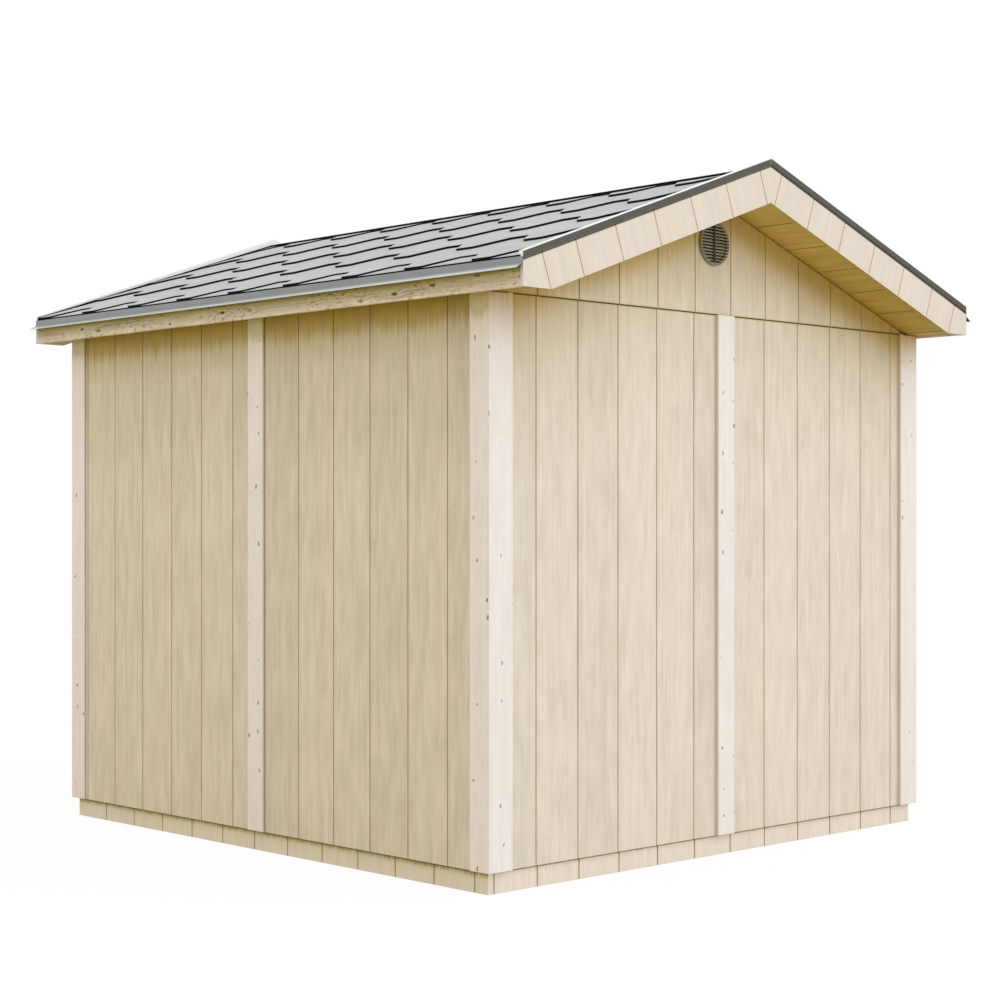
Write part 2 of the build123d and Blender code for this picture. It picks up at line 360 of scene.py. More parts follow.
def under_roof(n, point):
    """How far a point of a wall lies below the level or sloping soffit over it."""
    slope = n.mad(from_ridge(n, point), -tan(rake_pitch), apex - soffit_under / cos(rake_pitch))
    return n.sub(n.calc("MAXIMUM", slope, wall_top), height_of(n, point))


def under_soffit(n, point):
    """How far a point of a gable lies below the underside of the rake soffits as they are lined."""
    return n.add(under_roof(n, point), soffit_rise / cos(rake_pitch))


def under_verge(n, point):
    """How far a point lies below the foot of the verge cap, square to the slope."""
    plumb = n.sub(n.mad(from_ridge(n, point), -tan(rake_pitch), apex), height_of(n, point))
    return n.mul(plumb, cos(rake_pitch))


def toward_left_end(n, point):
    """How far a point of a gable lies to the left of its middle, looking at that gable."""
    return n.mul(n.along(point, x_axis), n.calc("SIGN", n.along(point, y_axis)))


def under_siding(n, point):
    """How far a point of the plinth lies below the foot of the siding."""
    return n.sub(wall_foot, height_of(n, point))


def under_drip(n, point):
    """How far a point of the eave boards lies below the drip edge."""
    return n.sub(eave_shade_top, height_of(n, point))


looks = {}


def new_look(name):
    """A new material, kept by its name: its nodes and its shader."""
    material = bpy.data.materials.new(name)
    material.use_nodes = True
    looks[name] = material
    n = Nodes(material.node_tree)
    return n, n.tree.nodes["Principled BSDF"]


def coat(n, shader, colour, roughness, specular, bump, depth, height):
    """Set a shader's colour, its gloss and its fine relief."""
    relief = n.out("ShaderNodeBump", {"Strength": bump, "Distance": depth, "Height": height})
    for key, value in (("Base Color", colour), ("Roughness", roughness), ("Specular IOR Level", specular),
                       ("Normal", relief)):
        n.feed(shader.inputs[key], value)


def shaded(n, colour, depth, streak, unevenness, stops):
    """Paint shade and light into a colour by a measure such as the depth under what overhangs it, with an
    uneven lower edge along the grain.
    """
    reach = stops[-1][0]
    uneven = n.mad(n.sub(streak, 0.5), unevenness, depth)
    tone = n.put("ShaderNodeValToRGB", {0: n.div(uneven, reach)})
    bands = tone.color_ramp.elements
    bands[0].color = (*stops[0][1], 1.0)
    bands[1].color = (*stops[-1][1], 1.0)
    for level, shade in stops[1:-1]:
        bands.new(level / reach).color = (*shade, 1.0)
    return n.tint(colour, tone.outputs[0])


seam_olive = (0.080, 0.056, 0.002)
# Painted shade on the boards beside the wall seam
seam_painted_shade = (0.92, 0.90, 0.70)
knot_brown = (0.10, 0.062, 0.032)
knot_grey = (0.12, 0.095, 0.075)


def wood_look(name, pale, deep, figure=0.7, across=walls_across, lengthwise=upright, lines=0.0, specks=0.0,
              knots=0.0, knot_cell=(0.062, 0.150), knot=knot_brown, seed=0.0, boards=None, shades=(),
              seam=None, roughness=0.62):
    """Softwood with its grain along a direction, knots, board tints, a painted warm shade under overhangs and
    other painted shade and light, and a dark seam with painted shade beside it.
    """
    n, shader = new_look(name)
    point = n.point()
    grain = n.put("ShaderNodeGroup", node_tree=board_grain)
    for key, value in {
            "Across": n.along(point, across), "Along": n.along(point, lengthwise), "Seed": seed,
            "Pale": pale, "Deep": deep, "Knot": knot, "Figure": figure, "Lines": lines, "Specks": specks,
            "Knot Share": knots, "Knot Width": knot_cell[0], "Knot Length": knot_cell[1]}.items():
        n.feed(grain.inputs[key], value)
    colour, height, streak = grain.outputs
    if boards:
        direction, phase = boards
        board = n.calc("FLOOR", n.div(n.sub(n.along(point, direction), phase), board_pitch))
        draw = n.put("ShaderNodeTexWhiteNoise", {"W": board}, noise_dimensions="1D").outputs["Value"]
        colour = n.uneven_tint(colour, draw)
    for overhang, unevenness, stops in shades:
        colour = shaded(n, colour, overhang(n, point), streak, unevenness, stops)
    if seam:
        # A dark olive joint along the wall seam, with painted shade on the boards either side of it
        gap = n.calc("ABSOLUTE", n.sub(height_of(n, point), seam))
        colour = n.blend(n.ramp(gap, *seam_shade_reach, 1.0, 0.0), colour, seam_painted_shade, "MULTIPLY")
        colour = n.blend(n.ramp(gap, *wall_seam_core, 1.0, 0.0), colour, seam_olive)
    coat(n, shader, colour, roughness, 0.25, 0.25, 0.0012, height)


def shingle_look(name):
    """Light grey mineral granules, a little different on each tab."""
    n, shader = new_look(name)
    point = n.point()
    x, y, _ = n.split(point)
    tab = n.calc("FLOOR", n.div(y, tab_pitch))
    row = n.calc("FLOOR", n.div(x, course_spacing * cos(cover_pitch)))
    draw = n.put("ShaderNodeTexWhiteNoise", {"Vector": n.vector(tab, row)}).outputs["Value"]
    grit = n.noise(point, (700.0, 700.0, 700.0), 2.0, 0.7)
    mottle = n.noise(point, (11.0, 11.0, 11.0), 4.0, 0.65)
    colour = n.blend(n.ramp(grit, 0.25, 0.75, smooth=False), (0.445, 0.460, 0.480), (0.730, 0.755, 0.790))
    colour = n.blend(n.ramp(mottle, 0.3, 0.7, 0.0, 0.30), colour, (0.50, 0.52, 0.54))
    coat(n, shader, n.uneven_tint(colour, draw), 0.9, 0.15, 0.5, 0.0012, grit)


def finish_look(name, base, spread_to, scale, share, roughness, specular, band=None):
    """Paint, zinc, plastic or bitumen: a cloudy colour, another one in a band by a height or depth (a painted
    highlight, painted shade, or the face grey on the drip lip), a fine unevenness.
    """
    n, shader = new_look(name)
    point = n.point()
    cloud = n.noise(point, (scale, scale, scale), 4.0, 0.6)
    fine = n.noise(point, (scale * 30.0, scale * 30.0, scale * 30.0), 2.0)
    colour = n.blend(n.ramp(cloud, 0.3, 0.7, 0.0, share), base, spread_to)
    if band:
        depth, begin, full, edge = band
        colour = n.blend(n.ramp(depth(n, point), begin, full), colour, edge)
    rough = n.ramp(cloud, 0.2, 0.8, roughness - 0.06, roughness + 0.06)
    coat(n, shader, colour, rough, specular, 0.1, 0.0004, fine)


def slotted_rim_look(name, rim, slat, slot):
    """Moulded rim of the round vents, with the ends of the louvres inside it and the slots between them
    painted dark as shade.
    """
    n, shader = new_look(name)
    point = n.point()
    aside = n.sub(from_ridge(n, point), abs(vent_low.x + vent_high.x) / 2)
    level = n.sub(height_of(n, point), (vent_low.z + vent_high.z) / 2)
    radius = n.calc("SQRT", n.mad(aside, aside, n.mul(level, level)))
    between = n.calc("PINGPONG", n.add(level, louvre_dip), louvre_pitch / 2)
    louvres = n.blend(n.ramp(between, *louvre_edge), slat, slot)
    cloud = n.noise(point, (18.0, 18.0, 18.0), 4.0, 0.6)
    outer = n.blend(n.ramp(cloud, 0.3, 0.7, 0.0, 0.5), rim, slat)
    colour = n.blend(n.ramp(radius, *rim_edge), louvres, outer)
    coat(n, shader, colour, 0.55, 0.2, 0.1, 0.0004, cloud)


# Painted shade and light on the wood: a measure in metres, mostly a depth, how uneven the shade's edge is,
# and a share of each colour for each depth or measure
no_shade = (1.0, 1.0, 1.0)
gable_shade = (under_roof, 0.16, (
    (0.0, (0.72, 0.56, 0.17)), (0.04, (0.69, 0.545, 0.185)), (0.06, (0.7, 0.575, 0.25)),
    (0.12, (0.826, 0.774, 0.563)), (0.15, (0.86, 0.822, 0.667)), (0.3, (0.954, 0.937, 0.879)),
    (0.7, no_shade)))
gable_end_light = (toward_left_end, 0.0, (
    (0.0, no_shade), (0.25, no_shade), (0.56, (1.1, 1.116, 1.207)), (0.8, (1.136, 1.231, 1.546)),
    (0.95, (1.06, 1.123, 1.458)), (1.2, (1.06, 1.2, 1.65))))
side_shade = (under_roof, 0.16, (
    (0.0, (0.48, 0.37, 0.04)), (0.03, (0.48, 0.37, 0.072)), (0.06, (0.504, 0.414, 0.145)),
    (0.075, (0.555, 0.482, 0.232)), (0.115, (0.763, 0.732, 0.589)), (0.195, (0.882, 0.88, 0.812)),
    (0.6, no_shade)))
gable_trim_shade = (under_roof, 0.14, (
    (0.0, (0.697, 0.557, 0.239)), (0.025, (0.751, 0.656, 0.362)), (0.065, (0.857, 0.789, 0.615)),
    (0.13, (0.947, 0.9, 0.847)), (0.17, (0.958, 0.937, 0.907)), (0.5, no_shade)))
side_trim_shade = (under_roof, 0.14, (
    (0.0, (0.6, 0.51, 0.17)), (0.03, (0.62, 0.56, 0.32)), (0.055, (0.58, 0.528, 0.33)),
    (0.09, (0.835, 0.795, 0.683)), (0.17, (0.956, 0.936, 0.894)), (0.45, no_shade)))
soffit_shade = (from_ridge, 0.10, (
    (0.0, (1.0, 0.99, 0.96)), (0.2, (0.985, 0.935, 0.87)), (0.5, (0.92, 0.87, 0.75)),
    (0.8, (0.86, 0.79, 0.59)), (1.1, (0.75, 0.71, 0.54)), (1.24, (0.72, 0.70, 0.52))))
# Painted shade on the soffits next to the wall and next to the rake board, with a little painted light
# between
soffit_wall_shade = (from_wall, 0.05, (
    (0.0, (0.55, 0.45, 0.3)), (0.005, (0.84, 0.74, 0.54)), (0.012, (0.948, 0.878, 0.7)),
    (0.03, (1.016, 0.967, 0.824)), (0.08, (1.03, 1.023, 0.993)), (0.17, (0.977, 0.979, 0.977)),
    (0.2, (0.86, 0.91, 0.96))))
gable_plinth_shade = (under_siding, 0.03, (
    (0.0, (0.55, 0.54, 0.45)), (0.003, (0.70, 0.69, 0.62)), (0.006, (0.87, 0.86, 0.81)),
    (0.010, (0.98, 0.98, 0.96)), (0.02, no_shade)))
side_plinth_shade = (under_siding, 0.04, (
    (0.0, (0.38, 0.36, 0.15)), (0.0075, (0.44, 0.42, 0.21)), (0.0105, (0.565, 0.546, 0.312)),
    (0.018, (0.842, 0.834, 0.661)), (0.0275, (0.963, 0.951, 0.874)), (0.06, no_shade)))
eave_shade = (under_drip, 0.05, (
    (0.0, (0.463, 0.433, 0.12)), (0.006, (0.494, 0.464, 0.135)), (0.0095, (0.63, 0.589, 0.186)),
    (0.024, (0.74, 0.723, 0.536)), (0.035, (0.727, 0.729, 0.65)), (0.06, (0.984, 0.984, 1.024)),
    (0.066, (0.88, 0.86, 0.8))))
left_verge_shade = (under_verge, 0.0, (
    (0.0, (0.10, 0.09, 0.06)), (0.004, (0.13, 0.115, 0.075)), (0.0062, (0.82, 0.80, 0.75)),
    (0.009, no_shade)))
right_verge_shade = (under_verge, 0.0, (
    (0.0, (0.02, 0.018, 0.008)), (0.0045, (0.04, 0.036, 0.018)), (0.0066, (0.80, 0.78, 0.73)),
    (0.009, no_shade)))
# Painted contact shade: thin dark lines under the soffits, at the top of the trim and under the foot of the
# siding
soffit_contact_shade = (under_soffit, 0.0, (
    (0.0, (0.28, 0.19, 0.02)), (0.0018, (0.38, 0.27, 0.04)), (0.0036, no_shade)))
trim_contact_shade = (under_roof, 0.0, (
    (0.0, (0.24, 0.19, 0.08)), (0.003, (0.34, 0.28, 0.14)), (0.0055, no_shade)))
gable_plinth_contact_shade = (under_siding, 0.0, (
    (0.0, (0.36, 0.32, 0.14)), (0.005, (0.42, 0.38, 0.19)), (0.0075, no_shade)))
side_plinth_contact_shade = (under_siding, 0.0, (
    (0.0, (0.50, 0.46, 0.18)), (0.005, (0.56, 0.52, 0.24)), (0.0075, no_shade)))
edge_shade = (off_wall, 0.0, (
    (0.0, (0.80, 0.76, 0.68)), (0.004, (0.92, 0.90, 0.87)), (0.008, no_shade)))
joint_shade = (off_wall, 0.0, (
    (0.0, (0.22, 0.18, 0.13)), (0.0016, (0.28, 0.23, 0.17)), (0.0028, (0.96, 0.95, 0.93)), (0.014, no_shade)))

# Softwood, each with its pale and deep colour. The side walls and their plinth and trim get warmer tones than
# the gables': in part painted shade.
gable_tones = ((0.829, 0.728, 0.625), (0.707, 0.614, 0.505))
rake_tones = ((0.835, 0.741, 0.647), (0.712, 0.625, 0.523))
# The soffits' deep golden tones are in part painted shade under the rakes
soffit_tones = ((0.757, 0.552, 0.155), (0.440, 0.304, 0.064))
trim_tones = ((0.925, 0.868, 0.845), (0.815, 0.737, 0.693))
wood_look("gable_siding", *gable_tones, 0.9, boards=(x_axis, gable_groove), shades=(gable_shade,),
          seam=wall_seam)
wood_look("gable_top_siding", *gable_tones, 1.1, boards=(x_axis, gable_top_groove), seed=3.0,
          shades=(gable_shade, gable_end_light, soffit_contact_shade), seam=wall_seam)
wood_look("side_siding", (0.819, 0.710, 0.529), (0.684, 0.587, 0.430), 1.1, boards=(y_axis, side_groove),
          seed=5.0, shades=(side_shade,))
wood_look("gable_plinth_siding", (0.895, 0.793, 0.690), (0.755, 0.662, 0.560), seed=8.0,
          shades=(gable_plinth_shade, gable_plinth_contact_shade))
wood_look("side_plinth_siding", (0.905, 0.803, 0.640), (0.765, 0.672, 0.520), seed=9.0,
          shades=(side_plinth_shade, side_plinth_contact_shade))
wood_look("left_rake_siding", *rake_tones, 0.45, left_rise, left_square, seed=11.0,
          shades=(left_verge_shade,))
wood_look("right_rake_siding", *rake_tones, 0.45, right_rise, right_square, seed=12.0,
          shades=(right_verge_shade,))
wood_look("left_soffit_wood", *soffit_tones, 0.45, left_rise, y_axis, lines=0.05, seed=15.0,
          shades=(soffit_shade, soffit_wall_shade))
wood_look("right_soffit_wood", *soffit_tones, 0.45, right_rise, y_axis, lines=0.05, seed=16.0,
          shades=(soffit_shade, soffit_wall_shade))
wood_look("eave_soffit_wood", (0.70, 0.55, 0.25), (0.56, 0.42, 0.16), 0.8, x_axis, y_axis, lines=0.2,
          seed=17.0)
# Groove wood, darker than the boards: in part painted shade in the grooves
wood_look("gable_groove_wood", (0.66, 0.56, 0.39), (0.54, 0.45, 0.30), shades=(gable_shade,))
wood_look("side_groove_wood", (0.61, 0.51, 0.34), (0.50, 0.41, 0.26), shades=(side_shade,))
wood_look("plinth_groove_wood", (0.60, 0.50, 0.33), (0.48, 0.39, 0.25), shades=(side_plinth_shade,))
wood_look("rake_groove_wood", (0.66, 0.57, 0.40), (0.55, 0.46, 0.31), across=left_rise,
          shades=(right_verge_shade,))
wood_look("soffit_groove_wood", (0.31, 0.20, 0.042), (0.23, 0.14, 0.025), across=left_rise, lengthwise=y_axis)
trim_knots = {"lines": 0.08, "knots": 0.4, "knot_cell": (0.062, 0.115), "knot": knot_grey, "seed": 20.0}
wood_look("gable_trim_wood", *trim_tones, 0.5, shades=(gable_trim_shade, trim_contact_shade), **trim_knots)
wood_look("side_trim_wood", (0.955, 0.880, 0.810), (0.840, 0.748, 0.665), 0.5, shades=(side_trim_shade,),
          **trim_knots)
# A darker copy of the trim wood for the narrow faces that look to the sides: painted shade
wood_look("trim_shaded_edge_wood", (0.800, 0.730, 0.640), (0.700, 0.630, 0.540), 0.5, seed=22.0,
          shades=(gable_trim_shade, edge_shade))
wood_look("trim_side_wood", *trim_tones, 0.5, seed=23.0, shades=(side_trim_shade, joint_shade))
wood_look("eave_wood", (0.92, 0.80, 0.60), (0.70, 0.57, 0.36), 0.95, eave_across, y_axis, lines=0.6,
          specks=1.0, knots=0.75, knot_cell=(0.070, 0.200), seed=24.0, shades=(eave_shade,))
wood_look("frame_wood", (0.78, 0.66, 0.46), (0.58, 0.45, 0.27), 0.8, lines=0.4, knots=0.3, seed=30.0,
          roughness=0.8)

# Shingles, metal and plastic
verge_grey = ((0.112, 0.105, 0.093), (0.128, 0.120, 0.107))
shingle_look("shingle_top")
# Near-black butt edges, verge beads and ridge strip: the bitumen edges, in part painted shade under the tabs
# and along the verges and the ridge
finish_look("shingle_edge_and_shade", (0.010, 0.010, 0.011), (0.022, 0.022, 0.024), 40.0, 0.6, 0.8, 0.0)
# Verge faces: the left one with a painted highlight along its top edge, the right one with painted shade
# along its foot
finish_look("left_verge_face", *verge_grey, 12.0, 0.5, 0.5, 0.05,
            band=(under_verge, -0.0214, -0.0222, (0.98, 0.98, 0.95)))
finish_look("right_verge_face", *verge_grey, 12.0, 0.5, 0.5, 0.05,
            band=(under_verge, -0.0042, -0.0034, (0.010, 0.008, 0.003)))
# Top, ends and inner faces of the verge caps painted near white: a painted reflection on the dark metal
finish_look("verge_painted_reflection", (0.98, 0.98, 0.975), (0.94, 0.94, 0.94), 12.0, 0.4, 0.35, 0.6)
# Drip edge face: lighter and bluer than the verge caps' grey, in part a painted reflection
finish_look("drip_face", (0.322, 0.352, 0.362), (0.287, 0.316, 0.327), 9.0, 0.6, 0.45, 0.3)
# Drip lip painted pale as a highlight, grading to the face grey towards its fold
finish_look("drip_lip_highlight", (0.85, 0.85, 0.81), (0.81, 0.81, 0.79), 9.0, 0.4, 0.35, 0.4,
            band=(height_of, *lip_grey, (0.315, 0.345, 0.355)))
# Underside and ends of the drip edges: painted shade
finish_look("drip_underside_shade", (0.030, 0.030, 0.030), (0.045, 0.045, 0.045), 9.0, 0.5, 0.6, 0.2)
finish_look("vent_louvre", (0.380, 0.358, 0.228), (0.310, 0.290, 0.180), 18.0, 0.5, 0.55, 0.3)
finish_look("vent_middle", (0.070, 0.063, 0.040), (0.050, 0.045, 0.028), 18.0, 0.5, 0.6, 0.2)
slotted_rim_look("vent_rim", (0.215, 0.200, 0.125), (0.300, 0.282, 0.178), (0.045, 0.040, 0.022))


def new_piece(name, mesh):
    """A mesh as an object of the scene."""
    piece = bpy.data.objects.new(name, mesh)
    bpy.context.scene.collection.objects.link(piece)
    return piece


def merged_copy(name, node, whole=True):
    """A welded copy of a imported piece, with its flat faces whole again."""
    mesh = cad_nodes[node].data.copy()
    mesh.name = name
    mesh.materials.clear()
    shape = bmesh.new()
    shape.from_mesh(mesh)
    bmesh.ops.remove_doubles(shape, verts=shape.verts, dist=0.00001)
    if whole:
        bmesh.ops.dissolve_limit(shape, angle_limit=radians(0.5), verts=shape.verts, edges=shape.edges)
    shape.to_mesh(mesh)
    shape.free()
    return new_piece(name, mesh)


def settle(piece):
    """Turn the piece's modifiers into a plain mesh."""
    shown = piece.evaluated_get(bpy.context.evaluated_depsgraph_get())
    mesh = bpy.data.meshes.new_from_object(shown)
    mesh.name = piece.name
    piece.modifiers.clear()
    piece.data = mesh
    return piece


def grow(piece, tree, values):
    """Put a geometry tree on a piece, with its named inputs set by their identifiers."""
    layer = piece.modifiers.new(tree.name, "NODES")
    layer.node_group = tree
    for item in tree.interface.items_tree:
        if item.item_type == "SOCKET" and item.in_out == "INPUT" and item.name in values:
            layer[item.identifier] = values[item.name]
    return piece


def hand_over(piece, slot, *replaced):
    """Hang the piece on the shed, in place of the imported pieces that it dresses."""
    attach(piece, "root")
    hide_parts(*replaced)


def ease(piece, width, segments=2):
    """Take the sharpness off a piece's edges."""
    easing = piece.modifiers.new("eased_edges", "BEVEL")
    easing.width = width
    easing.segments = segments
    easing.limit_method = "ANGLE"
    easing.angle_limit = radians(40.0)
    return settle(piece)


def paint(piece, names, choose):
    """Give each face of a piece one of several materials."""
    for name in names:
        piece.data.materials.append(looks[name])
    for face in piece.data.polygons:
        face.material_index = choose(face)
    return piece


def repaint(piece, name, chosen):
    """Give some faces of a finished piece one more material."""
    piece.data.materials.append(looks[name])
    for face in piece.data.polygons:
        if chosen(face):
            face.material_index = len(piece.data.materials) - 1


def new_geometry_tree(name, inputs):
    """A geometry tree with named inputs and one geometry output."""
    tree = bpy.data.node_groups.new(name, "GeometryNodeTree")
    for kind, labels in inputs:
        for label in labels:
            tree.interface.new_socket(label, in_out="INPUT", socket_type="NodeSocket" + kind)
    tree.interface.new_socket("Geometry", in_out="OUTPUT", socket_type="NodeSocketGeometry")
    n = Nodes(tree)
    return n, n.put("NodeGroupInput").outputs


def make_groove_cutter():
    """Geometry tree: cut a row of tapered grooves into boards."""
    n, given = new_geometry_tree("groove_cutter", (
        ("Geometry", ("Boards",)), ("Vector", ("First", "Step", "Turn")), ("Int", ("Count",)),
        ("Float", ("Length", "Mouth", "Floor", "Depth")), ("Material", ("Board Wood", "Groove Wood"))))
    bar = n.geo("MeshCube", {"Size": n.vector(1.0, n.mul(given["Depth"], 2.0), given["Length"])})
    x, y, z = n.split(n.geo("InputPosition"))
    outer = n.sub(n.mul(given["Mouth"], 2.0), given["Floor"])
    width = n.mad(n.sub(given["Floor"], outer), n.calc("GREATER_THAN", y, 0.0), outer)
    bar = n.geo("SetPosition", {"Geometry": bar, "Position": n.vector(n.mul(x, width), y, z)})
    bar = n.store(bar, "groove", True, "BOOLEAN", "FACE")
    row = n.geo("MeshLine", {
        "Count": given["Count"], "Start Location": given["First"], "Offset": given["Step"]}, mode="OFFSET")
    turn = n.out("FunctionNodeEulerToRotation", {0: given["Turn"]})
    bars = n.geo("InstanceOnPoints", {"Points": row, "Instance": bar, "Rotation": turn})
    bars = n.geo("RealizeInstances", {"Geometry": bars})
    cut = n.geo("MeshBoolean", {"Mesh 1": given["Boards"], "Mesh 2": bars},
                operation="DIFFERENCE", solver="EXACT")
    cut = n.paint(cut, given["Board Wood"])
    n.put("NodeGroupOutput", {0: n.paint(cut, given["Groove Wood"], n.stored("groove", "BOOLEAN"))})
    return n.tree


groove_cutter = make_groove_cutter()


def groove(piece, woods, size, first, step, count, turn, length):
    """Cut one row of grooves into a piece."""
    mouth, floor, depth = size
    grow(piece, groove_cutter, {
        "First": first, "Step": step, "Count": count, "Turn": turn, "Length": length, "Mouth": mouth,
        "Floor": floor, "Depth": depth, "Board Wood": looks[woods[0]], "Groove Wood": looks[woods[1]]})


def turned(point):
    """The same place on the opposite wall."""
    return (-point[0], -point[1], point[2])


def dress_wall_pair(sides, name, node, woods, first, step, count, turn, low, high, drop=0.0):
    """Groove two opposite walls the same way, with their foot brought down to close the seam under it."""
    first = (*first, (low + high) / 2)
    length = high - low + groove_spare
    for side, start, pace, facing in ((sides[0], first, step, turn),
                                      (sides[1], turned(first), turned(step), turn + pi)):
        piece = merged_copy(side + name, side + node)
        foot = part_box(side + node)[0].z
        for corner in piece.data.vertices:
            if corner.co.z < foot + 0.0001:
                corner.co.z -= drop
        groove(piece, woods, wall_groove_size, start, pace, count, (0.0, 0.0, facing), length)
        hand_over(settle(piece), "siding", side + node)


def dress_walls():
    """Grooved panels of the four walls, the gables and the plinth."""
    across, back = (board_pitch, 0.0, 0.0), (0.0, board_pitch, 0.0)
    dress_wall_pair(("front", "back"), "_wall_boards", "_wall_panels", ("gable_siding", "gable_groove_wood"),
                    (gable_groove, wall_front), across, gable_groove_count, 0.0, wall_foot, wall_top)
    dress_wall_pair(("left", "right"), "_wall_boards", "_wall_panels", ("side_siding", "side_groove_wood"),
                    (wall_left, side_groove), back, side_groove_count, -pi / 2, wall_foot, wall_top)
    low, high = gable_panel_low.z, gable_panel_high.z
    dress_wall_pair(("front", "back"), "_gable_boards", "_gable_panel",
                    ("gable_top_siding", "gable_groove_wood"), (gable_top_groove, wall_front), across,
                    gable_groove_count, 0.0, low, high, low - wall_top - wall_seam_gap)
    middle = (plinth_low.z + plinth_high.z) / 2
    tall = plinth_high.z - plinth_low.z + groove_spare
    for name, first, step, turn in (
            ("gable_plinth", (gable_plinth_groove, plinth_front, middle), across, 0.0),
            ("side_plinth", (plinth_left, side_plinth_groove, middle), back, -pi / 2)):
        boards = merged_copy(name, name + "_boards")
        for start, pace, facing in ((first, step, turn), (turned(first), turned(step), turn + pi)):
            groove(boards, (name + "_siding", "plinth_groove_wood"), plinth_groove_size, start, pace,
                   plinth_groove_count, (0.0, 0.0, facing), tall)
        settle(boards)
        # The plinth's end faces take the side walls' warmer tone and painted shade
        repaint(boards, "side_plinth_siding", lambda face: abs(face.center.x) > -plinth_left - slack)
        hand_over(boards, "siding", name + "_boards")


def dress_rakes():
    """Rake boards with grooves square to the slope, and soffits with seams across them."""
    ridge = Vector((0.0, 0.0, apex))
    outward = Vector((0.0, rake_front, 0.0))
    for side, name in ((-1.0, "left"), (1.0, "right")):
        fall = Vector((side * cos(rake_pitch), 0.0, -sin(rake_pitch)))
        square = Vector((-side * sin(rake_pitch), 0.0, -cos(rake_pitch)))
        lean = side * rake_pitch
        soffit_wood = name + "_soffit_wood"
        rake = merged_copy(name + "_rake_facing", name + "_rake_boards")
        for start, count in ((rake_groove, slope_groove_count), (rake_last_groove, 1)):
            top = ridge + fall * start + square * rake_depth / 2
            for first, turn in ((top + outward, (0.0, lean, 0.0)), (top - outward, (0.0, -lean, pi))):
                groove(rake, (name + "_rake_siding", "rake_groove_wood"), rake_groove_size, first,
                       fall * board_pitch, count, turn, rake_groove_length)
        settle(rake)
        repaint(rake, soffit_wood, lambda face: face.normal.z < -0.6)
        hand_over(rake, "siding", name + "_rake_boards")

        soffit = merged_copy(name + "_rake_lining", name + "_rake_soffits")
        for corner in soffit.data.vertices:
            if abs(corner.co.x) < 0.001 and corner.co.z < apex - (soffit_under - 0.002) / cos(rake_pitch):
                corner.co.z += soffit_rise / cos(rake_pitch)
            elif corner.co.z < wall_top + slack and abs(corner.co.x) < -wall_left:
                corner.co.x += side * soffit_rise / sin(rake_pitch)
        under = ridge + fall * soffit_groove + square * (soffit_under - soffit_rise)
        groove(soffit, (soffit_wood, "soffit_groove_wood"), soffit_groove_size, under, fall * board_pitch,
               slope_groove_count, (pi / 2, lean, 0.0), soffit_groove_length)
        hand_over(settle(soffit), "siding", name + "_rake_soffits")


def dress_trim():
    """Corner boards, battens and eave boards with eased edges, and the eave soffits."""
    # The trim wood of each wall's faces, a darker copy with painted shade for narrow faces that look to the
    # sides, and one with painted contact shade for narrow faces that look ahead
    woods = ("gable_trim_wood", "side_trim_wood", "trim_shaded_edge_wood", "trim_side_wood")

    def dress_board(node, wood_of_face):
        piece = paint(merged_copy(node + "_board", node), woods, wood_of_face)
        hand_over(ease(piece, board_ease), "trim_wood", node)

    for node in ("front_left_corner", "front_right_corner", "back_left_corner", "back_right_corner"):
        aside = -1.0 if "left" in node else 1.0
        ahead = -1.0 if "front" in node else 1.0

        def corner_wood(face):
            if face.normal.x * aside < -full_on:
                return 2
            if face.normal.y * ahead < -full_on:
                return 3
            return int(face.normal.x * aside > full_on)

        dress_board(node, corner_wood)
    for node in ("front_batten", "back_batten", "left_batten", "right_batten"):
        face_wood, side_wood, sideways = (1, 3, 1) if node.startswith(("left", "right")) else (0, 2, 0)

        def batten_wood(face):
            return side_wood if abs(face.normal[sideways]) > full_on else face_wood

        dress_board(node, batten_wood)
    for side in ("left", "right"):
        piece = ease(merged_copy(side + "_eave_planks", side + "_eave_boards"), board_ease)
        piece.data.materials.append(looks["eave_wood"])
        hand_over(piece, "trim_wood", side + "_eave_boards")
    piece = merged_copy("eave_lining", "eave_soffits")
    piece.data.materials.append(looks["eave_soffit_wood"])
    hand_over(piece, "siding", "eave_soffits")


